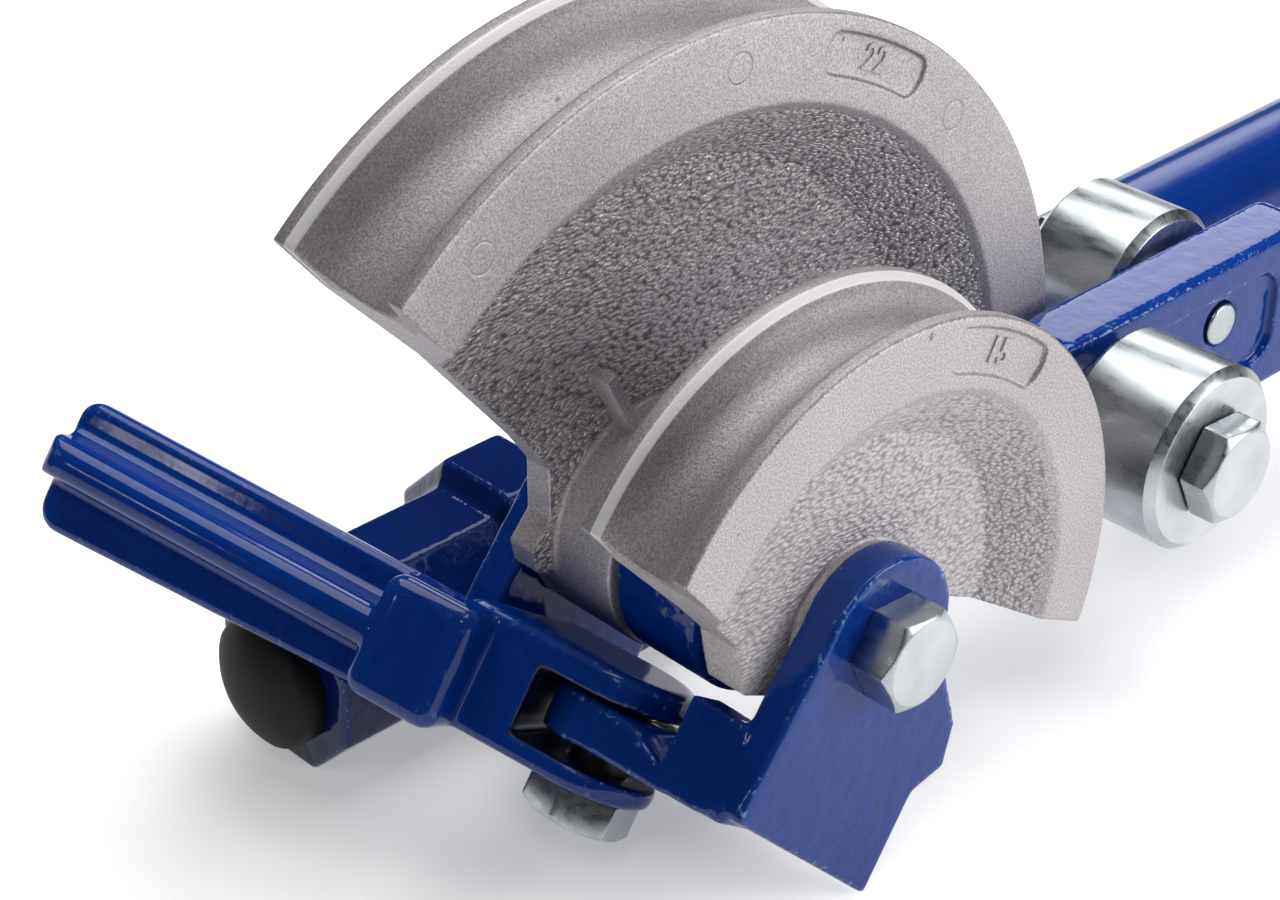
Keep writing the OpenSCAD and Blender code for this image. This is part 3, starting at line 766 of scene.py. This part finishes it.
def build_stop():
    """Stop arm: a fork, a block, an upright plate and a flange that runs into it with wide fillets."""
    root_u = ARM_ROOT_U - 4
    side = rounded([(root_u, PLATE_ROOT_Z, 0), (STOP_LEN, PLATE_END_Z, 4.5),
                    (STOP_LEN, PLATE_TOP_Z, 3.5), (root_u, PLATE_TOP_Z, 0)])
    plate = prism("stop_arm_piece", side, ARM_P0, ARM_P1)
    round_edges(plate, radius=1.7)
    fillet = FLANGE_FILLET
    low, top = FLANGE_LOW_Z, FLANGE_TOP_Z
    section = rounded([(ARM_P0 + 1, low - fillet, 0), (ARM_P1 - 0.3, low - fillet, 0),
                       (ARM_P1 + fillet, low, 3), (FLANGE_P1, low, 3.4),
                       (FLANGE_P1, top, 3.4), (ARM_P1 + fillet, top, 3),
                       (ARM_P1 - 0.3, top + fillet, 0), (ARM_P0 + 1, top + fillet, 0)])
    flange = prism("flange", section, ARM_ROOT_U - 5, STOP_LEN - 1, "X")
    plan = soft_rectangle(ARM_ROOT_U - 15, STOP_LEN - 0.5, ARM_P0 - 10, FLANGE_P1, radius=5)
    boolean(flange, prism("plan", plan, low - 10, top + 10, "Z"), "INTERSECT")
    block = rounded_box("block", (BLOCK_U0, ARM_P0, BLOCK_LOW_Z), (BLOCK_U1, BLOCK_P1, BLOCK_TOP_Z),
                        radius=3.2)
    join(plate, flange, block, build_fork())
    soften(plate, voxel=0.42, rounds=14, keep=0.4)
    # Faces inside the fork's pocket take the near-black painted shade.
    for face in plate.data.polygons:
        centre = face.center / MM
        in_pocket = FORK_LOW_Z + POCKET_FLOOR - 0.3 < centre.z < FORK_TOP_Z - POCKET_ROOF + 0.3
        if centre.x < POCKET_U + 0.3 and in_pocket:
            face.material_index = 1
    plate.data.transform(stop_frame())
    dress(plate, "stop", "blue_paint", [STOP_PAINT, POCKET_SHADE], "stop_arm")


# Formers

def former_profile(size):
    """Turned section of a former, with chamfers on its groove and filleted recesses on both sides."""
    y0 = size["y0"]
    y1 = y0 + size["width"]
    mid = (y0 + y1) / 2
    front = y0 + size["depth"]
    back = front + size["web"]
    bend_r, groove_r = size["bend_r"] - FACET_GAP, size["groove_r"]
    start = math.asin(EDGE_CHAMFER / groove_r)
    steps = 28
    corners = [(bend_r, y0, 0.5), (bend_r, mid - groove_r - EDGE_CHAMFER, 0)]
    for k in range(steps + 1):
        angle = start + (math.pi - 2 * start) * k / steps
        corners.append((bend_r - groove_r * math.sin(angle), mid - groove_r * math.cos(angle), 0))
    corners += [(bend_r, mid + groove_r + EDGE_CHAMFER, 0), (bend_r, y1, 0.5), (size["rim_r"], y1, 0.6),
                (size["floor_r"], back, 1.2), (BORE_R, back, 0), (BORE_R, front, 0),
                (size["floor_r"], front, 1.2), (size["rim_r"], y0, 0.6)]
    return rounded(corners)


def tilt(points):
    """Points of a former's own frame turned to where the former stands."""
    angle = math.radians(FORMER_AXIS - 90)
    c, s = math.cos(angle), math.sin(angle)
    return [(c * x - s * u, s * x + c * u) for x, u in points]


def left_end(x, u):
    """Far point of the slanted left end that starts at x, u."""
    return (-REACH, u + (REACH + x) * END_SLOPE)


def small_keep():
    """Outline of the part of the turned shape that the small former keeps."""
    foot = (-25.9, -5.4)
    return tilt([left_end(*foot), foot, (-23.5, -8.6), (-19.5, -FOOT_DROP), (23, -FOOT_DROP), (23, 5),
                 (REACH, 5), (REACH, REACH), (-REACH, REACH)])


def large_keep():
    """Outline of the part of the turned shape that the large former keeps."""
    slope = math.tan(math.radians(LARGE_START + 90 - FORMER_AXIS))
    foot = (-33, 8)
    return tilt([left_end(*foot), foot, (-26.5, 4.5), (-22, -4), (-23.5, -10), (-20.5, -FOOT_DROP),
                 (20.5, -FOOT_DROP), (20.5, 20.5 * slope), (REACH, REACH * slope), (REACH, REACH),
                 (-REACH, REACH)])


def pad_outline(r0, r1, start, sweep, corner):
    """Curved pad with round corners on a former's lip face."""
    steps = 40
    inner, outer = [], []
    for k in range(steps + 1):
        share = k / steps
        angle = math.radians(start + sweep * share)
        for side, radius, sign in ((outer, r1, -1), (inner, r0, 1)):
            ends = min(share, 1 - share) * math.radians(sweep) * radius
            inset = corner - math.sqrt(max(0.0, corner ** 2 - max(0.0, corner - ends) ** 2))
            reach = radius + sign * inset
            side.append((reach * math.cos(angle), reach * math.sin(angle)))
    return outer + inner[::-1]


def build_former(name, size, keep, hub, pad, materials):
    """Grooved half-round former with its hub and its sunk pad."""
    y0 = size["y0"]
    y1 = y0 + size["width"]
    hub_r, hub_y0, hub_y1 = hub
    former = lathe(name + "_piece", former_profile(size), about_y, segments=360)
    boolean(former, prism("keep", keep, y0 - 1, y1 + 1), "INTERSECT")
    boss = [(BORE_R, hub_y0), (hub_r, hub_y0), (hub_r, hub_y1), (BORE_R, hub_y1)]
    boolean(former, lathe("boss", boss, about_y), "UNION")
    boolean(former, prism("pad", pad_outline(**pad), y0 - 1, y0 + PAD_DEPTH), "DIFFERENCE")
    soften(former, voxel=0.36, rounds=4, keep=0.4)
    for face in former.data.polygons:
        centre = face.center / MM
        radius = math.hypot(centre.x, centre.z)
        facing_y = abs(face.normal.y)
        sunk = y0 + 1.2 < centre.y < y1 - 1.2
        if hub_r + 0.8 < radius < size["rim_r"] - 0.5 and sunk and facing_y > 0.45:
            face.material_index = 1
        # Groove and rim faces take the darker groove alloy, painted shade.
        if radius > size["bend_r"] - size["groove_r"] - 0.6 and (facing_y < 0.85 or sunk):
            face.material_index = 2
    dress(former, "frame", "cast_alloy", materials, name)


def size_mark(name, text, radius, angle, y, material):
    """Plain raised number on a former's pad, upright towards the rim."""
    curve = bpy.data.curves.new(name, "FONT")
    curve.body = text
    curve.size = MARK_HEIGHT / 0.7 * MM
    curve.align_x = "CENTER"
    curve.align_y = "CENTER"
    curve.extrude = 0.25 * MM
    curve.bevel_depth = 0.10 * MM
    curve.bevel_resolution = 1
    holder = link(name + "_text", curve)
    graph = bpy.context.evaluated_depsgraph_get()
    mark = link(name, bpy.data.meshes.new_from_object(holder.evaluated_get(graph)))
    bpy.data.objects.remove(holder)
    c, s = math.cos(math.radians(angle)), math.sin(math.radians(angle))
    turn = Matrix(((s, c, 0, radius * c * MM),
                   (0, 0, -1, y * MM),
                   (-c, s, 0, radius * s * MM),
                   (0, 0, 0, 1)))
    mark.data.transform(turn)
    dress(mark, "frame", "cast_alloy", [material])


def build_rib():
    """Short rib between the large former's hub and web."""
    first, last = Vector((-11.9, 31.2)), Vector((-4.6, 16.4))
    side = (last - first).orthogonal().normalized() * 1.1
    outline = [tuple(p) for p in (first + side, last + side, last - side, first - side)]
    web_y = LARGE["y0"] + LARGE["depth"]
    rib = prism("large_former_rib", outline, web_y - 4.5, web_y + 1.0)
    crisp(rib, width=0.3)
    dress(rib, "frame", "cast_alloy", [LARGE_ALLOY])


# Zinc bolts, rollers and rings

def lathe_z(profile, segments=72):
    """Points and faces of an open profile of (radius, height) turned about Z."""
    points = [(r * math.cos(2 * math.pi * k / segments), r * math.sin(2 * math.pi * k / segments), z)
              for k in range(segments) for r, z in profile]
    count = len(profile)
    faces = []
    for k in range(segments):
        here, there = k * count, (k + 1) % segments * count
        faces += [(here + i, here + i + 1, there + i + 1, there + i) for i in range(count - 1)]
    return points, faces


def hex_solid(radius, height, turn, both=False):
    """Points and faces of a six-sided head standing on Z, its corners cut by a round chamfer."""
    flat = radius * math.cos(math.radians(30))
    face_r = flat * 0.93
    slope = math.tan(math.radians(30))
    steps = 72
    rings = [[], [], [], []]
    for k in range(steps):
        angle = 360.0 * k / steps
        edge = flat / math.cos(math.radians((angle % 60) - 30))
        drop = (edge - face_r) * slope
        a = math.radians(angle + turn)
        low = drop if both else 0.0
        for ring, r, z in zip(rings, (face_r, edge, edge, face_r), (0.0, low, height - drop, height)):
            ring.append((r * math.cos(a), r * math.sin(a), z))
    points = [p for ring in rings for p in ring]
    faces = [tuple(range(steps - 1, -1, -1)), tuple(range(3 * steps, 4 * steps))]
    for i in range(3):
        for k in range(steps):
            j = (k + 1) % steps
            faces.append((i * steps + k, i * steps + j, (i + 1) * steps + j, (i + 1) * steps + k))
    return points, faces


def build_bolt(node, body, place, head, turn, shank):
    """Bolt whose head stands out along the place's Z, its oily shank running back the other way."""
    points, faces = hex_solid(head[0], head[1], turn)
    profile = [(0, -shank[-1][1])] + [(r, -z) for r, z in shank[::-1]] + [(shank[0][0], 0.5)]
    more, rest = lathe_z(profile)
    offset = len(points)
    points = points + more
    faces = faces + [tuple(i + offset for i in face) for face in rest]
    bolt = mesh_from(node + "_piece", points, faces)
    crisp(bolt, width=0.22)
    for face in bolt.data.polygons:
        if face.normal.z > 0.98:
            face.material_index = 1
        if face.center.z < -0.1 * MM and abs(face.normal.z) < 0.5:
            face.material_index = 2
    bolt.data.transform(place)
    dress(bolt, body, "zinc", [ZINC, ZINC_FACE, OILED], node)


def facing(point, x_axis, y_axis, z_axis):
    """Matrix that puts a local frame at a point, its axes along the given directions."""
    matrix = Matrix((x_axis, y_axis, z_axis)).transposed().to_4x4()
    matrix.translation = Vector(point) * MM
    return matrix


def towards_front(x, y, z):
    return facing((x, y, z), (1, 0, 0), (0, 0, 1), (0, -1, 0))


def towards_back(x, y, z):
    return facing((x, y, z), (1, 0, 0), (0, 0, -1), (0, 1, 0))


def build_roller(node, place):
    """Chamfered roller with brighter turned end faces."""
    x, y0, y1 = place
    edge = ROLLER_R - ROLLER_CHAMFER
    profile = rounded([(ROLLER_BORE_R, y0, 0.3), (edge, y0, 0.25), (ROLLER_R, y0 + ROLLER_CHAMFER, 0.25),
                       (ROLLER_R, y1 - ROLLER_CHAMFER, 0.25), (edge, y1, 0.25),
                       (ROLLER_BORE_R, y1, 0.3)], 3)
    roller = lathe(node + "_piece", profile, about_y, (x, 0, 0), 192)
    crisp(roller, limit=20)
    for face in roller.data.polygons:
        if abs(face.normal.y) > 0.95:
            face.material_index = 1
    dress(roller, node, "zinc", [ZINC, ZINC_FACE], node)


def build_ring(node, body, x, y0, y1, radius, bore):
    """Flat ring or short sleeve on an axle along Y."""
    profile = rounded([(bore, y0, 0), (radius, y0, 0.3), (radius, y1, 0.3), (bore, y1, 0)], 3)
    ring = lathe(node + "_piece", profile, about_y, (x, 0, 0), 128)
    crisp(ring)
    dress(ring, body, "zinc", [ZINC_FACE], node)


def build_nut():
    """Six-sided nut behind the washer, chamfered on both faces."""
    points, faces = hex_solid(NUT_R, NUT_HEIGHT, -HEX_TURN, True)
    nut = mesh_from("axle_nut_piece", points, faces)
    nut.data.transform(towards_back(0, WASHER_Y1, 0))
    bore = [(0, 70), (NUT_BORE_R, 70), (NUT_BORE_R, 77), (0, 77)]
    boolean(nut, lathe("bore", bore, about_y), "DIFFERENCE")
    crisp(nut, width=0.15)
    dress(nut, "frame", "zinc", [ZINC], "axle_nut")


def stop_seat():
    """Frame at the stop bolt's head seat, Z pointing out of the head."""
    seat = Matrix.Translation(Vector((0, 0, FORK_LOW_Z)) * MM)
    return stop_frame() @ seat @ Matrix.Rotation(math.pi, 4, "X")


# Rubber plug and grips

def build_plug():
    """Domed plug with a rounded lip."""
    lip_x = SOCKET_FRONT_X - PLUG_LIP
    tip_x = lip_x - PLUG_DOME
    stem_x = SOCKET_STEP_X - 1
    dome_r = (PLUG_R ** 2 + PLUG_DOME ** 2) / (2 * PLUG_DOME)
    profile = [(PLUG_STEM_R, stem_x), (PLUG_STEM_R, SOCKET_FRONT_X), (PLUG_R - 0.3, SOCKET_FRONT_X),
               (PLUG_R, SOCKET_FRONT_X - 0.4), (PLUG_R, lip_x + 0.6)]
    steps = 24
    reach = math.asin((PLUG_R - 0.3) / dome_r)
    for k in range(steps + 1):
        angle = reach * (1 - k / steps)
        profile.append((dome_r * math.sin(angle), tip_x + dome_r * (1 - math.cos(angle))))
    profile.append((0, stem_x))
    plug = lathe("front_plug_piece", profile, about_x, (0, HANDLE_Y, HANDLE_Z), 144)
    crisp(plug, limit=40)
    dress(plug, "frame", "black_rubber", [RUBBER], "front_plug")


def build_grip(node, body, y, z, end_x, tube_r, outer_r):
    """Moulded grip: a guard ring, finger ribs and a rounded end."""
    start = end_x - GRIP_LEN
    end = end_x + GRIP_CAP
    valley = outer_r - RIB_VALLEY
    crest = outer_r - RIB_CREST
    corners = [(tube_r + 0.03, start, 0), (outer_r, start, 1.2), (outer_r, start + 7, 1.0),
               (valley, start + 9, 0.8)]
    for k in range(RIB_COUNT):
        x = start + 12 + k * RIB_PITCH
        corners += [(valley, x, 0.6), (crest, x + 1.4, 0.8), (crest, x + 3.6, 0.8), (valley, x + 5.0, 0.6)]
    corners += [(outer_r, start + 114, 0.8), (outer_r, end, 3.2), (0, end, 0), (0, end_x + 0.05, 0),
                (tube_r + 0.03, end_x + 0.05, 0)]
    grip = lathe(node + "_piece", rounded(corners, 4), about_x, (0, y, z), 128)
    crisp(grip, limit=40)
    dress(grip, body, "black_rubber", [RUBBER], node)


# Stage

def build_floor():
    """Pale floor that looks white away from the tool and keeps the shadow close to it, where a lower glow adds
    painted shadow.
    """
    far = FLOOR_HALF
    floor = mesh_from("floor", [(-far, -far, FLOOR_Z), (far, -far, FLOOR_Z), (far, far, FLOOR_Z),
                                (-far, far, FLOOR_Z)], [(0, 1, 2, 3)])
    material, tree, shader, place = new_material("pale_floor")
    stops = [(0.0, (0.83, 0.83, 0.83)), (1.0, (0.86, 0.86, 0.86))]
    cloud = ramp(tree, noise(tree, place, 3.0, 2.0), stops)
    tree.links.new(cloud, shader.inputs["Base Color"])
    shader.inputs["Roughness"].default_value = 0.9
    shader.inputs["Specular IOR Level"].default_value = 0.1
    away = tree.nodes.new("ShaderNodeVectorMath")
    away.operation = "DISTANCE"
    away.inputs[1].default_value = GLOW_CENTRE
    tree.links.new(stretched(tree, place, GLOW_STRETCH), away.inputs[0])
    # The camera sees less glow close to the tool: painted shadow.
    glow = spread(tree, away.outputs["Value"], GLOW_PAINTED_SHADE, GLOW_FULL, GLOW_NEAR, GLOW_FAR)
    path = tree.nodes.new("ShaderNodeLightPath")
    mirrored = math_node(tree, "ADD", path.outputs["Is Glossy Ray"],
                         path.outputs["Is Transmission Ray"])
    seen = math_node(tree, "MULTIPLY", path.outputs["Is Camera Ray"], glow)
    seen = math_node(tree, "ADD", seen, math_node(tree, "MULTIPLY", mirrored, GLOW_MIRRORED))
    shader.inputs["Emission Color"].default_value = WHITE
    tree.links.new(seen, shader.inputs["Emission Strength"])
    floor.data.materials.append(material)


def build_lights():
    """White backdrop for the camera, soft boxes round the tool, two small windows for the stop's gloss."""
    world = bpy.data.worlds.new("studio")
    world.use_nodes = True
    tree = world.node_tree
    sky = tree.nodes["Background"]
    sky.inputs["Color"].default_value = WHITE
    path = tree.nodes.new("ShaderNodeLightPath")
    strength = spread(tree, path.outputs["Is Camera Ray"], WORLD_LIGHT, 1.0)
    tree.links.new(strength, sky.inputs["Strength"])
    bpy.context.scene.world = world
    target = Vector(LAMP_TARGET)
    for name, at, size, power in LAMPS:
        lamp = bpy.data.lights.new(name, "AREA")
        lamp.shape = "RECTANGLE"
        lamp.size, lamp.size_y = size
        lamp.energy = power
        obj = bpy.data.objects.new(name, lamp)
        bpy.context.scene.collection.objects.link(obj)
        obj.location = at
        obj.rotation_euler = (target - Vector(at)).to_track_quat("-Z", "Y").to_euler()


def build_camera():
    """Camera that sees the tool as the photograph does."""
    data = bpy.data.cameras.new("camera")
    data.sensor_fit = "HORIZONTAL"
    data.sensor_width = SENSOR_WIDTH
    data.lens = CAMERA_LENS
    data.clip_start = 0.01
    camera = bpy.data.objects.new("camera", data)
    bpy.context.scene.collection.objects.link(camera)
    spin = Matrix.Rotation(math.radians(CAMERA_AZIMUTH), 4, "Z")
    spin = spin @ Matrix.Rotation(math.radians(90 - CAMERA_ELEVATION), 4, "X")
    spin = spin @ Matrix.Rotation(math.radians(CAMERA_ROLL), 4, "Z")
    camera.matrix_world = Matrix.Translation(Vector(CAMERA_AT) * MM) @ spin
    bpy.context.scene.camera = camera
    bpy.context.scene.view_settings.view_transform = "Standard"


build_yoke()
build_socket()
build_lever()
build_stop()
build_former("small_former", SMALL, small_keep(), SMALL_HUB, SMALL_PAD,
             [SMALL_ALLOY, SMALL_WRINKLE, SMALL_GROOVE_SHADED])
build_former("large_former", LARGE, large_keep(), LARGE_HUB, LARGE_PAD,
             [LARGE_ALLOY, LARGE_WRINKLE, LARGE_GROOVE_SHADED])
build_rib()
size_mark("small_former_size", "15", radius=49.1, angle=61.5, y=PAD_DEPTH, material=SMALL_ALLOY)
size_mark("large_former_size", "22", radius=83.4, angle=62.0, y=LARGE["y0"] + PAD_DEPTH,
          material=LARGE_ALLOY)

small_x, small_y0 = SMALL_ROLLER[:2]
large_x, large_y1 = LARGE_ROLLER[0], LARGE_ROLLER[2]
build_bolt("axle_bolt", "frame", towards_front(0, AXLE_SEAT_Y, 0), AXLE_HEAD, HEX_TURN, AXLE_SHANK)
build_bolt("small_roller_bolt", "lever", towards_front(small_x, small_y0 - ROLLER_GAP, 0),
           ROLLER_HEAD, HEX_TURN, SMALL_ROLLER_SHANK)
build_bolt("large_roller_bolt", "lever", towards_back(large_x, large_y1 + ROLLER_GAP, 0),
           ROLLER_HEAD, -HEX_TURN, LARGE_ROLLER_SHANK)
build_bolt("stop_bolt", "stop", stop_seat(), STOP_HEAD, STOP_HEX_TURN, STOP_SHANK)
build_nut()
build_roller("small_roller", SMALL_ROLLER)
build_roller("large_roller", LARGE_ROLLER)
build_ring("axle_washer", "frame", 0, WASHER_Y0, WASHER_Y1, WASHER_R, BORE_R)
build_ring("small_roller_spacer", "lever", small_x, 19.2, BAR_Y0, SPACER_R, SPACER_BORE_R)
build_ring("large_roller_spacer", "lever", large_x, BAR_Y1, 39.7, SPACER_R, SPACER_BORE_R)

build_plug()
build_grip("fixed_grip", "frame", HANDLE_Y, HANDLE_Z, **FIXED_GRIP)
build_grip("lever_grip", "lever", BAR_Y, BAR_Z, **LEVER_GRIP)
for node, body in (("fixed_handle", "frame"), ("lever_tube", "lever")):
    tube = copy_node(node)
    crisp(tube, limit=30)
    dress(tube, body, "blue_paint", [TUBE_PAINT], node)

build_floor()
build_lights()
build_camera()
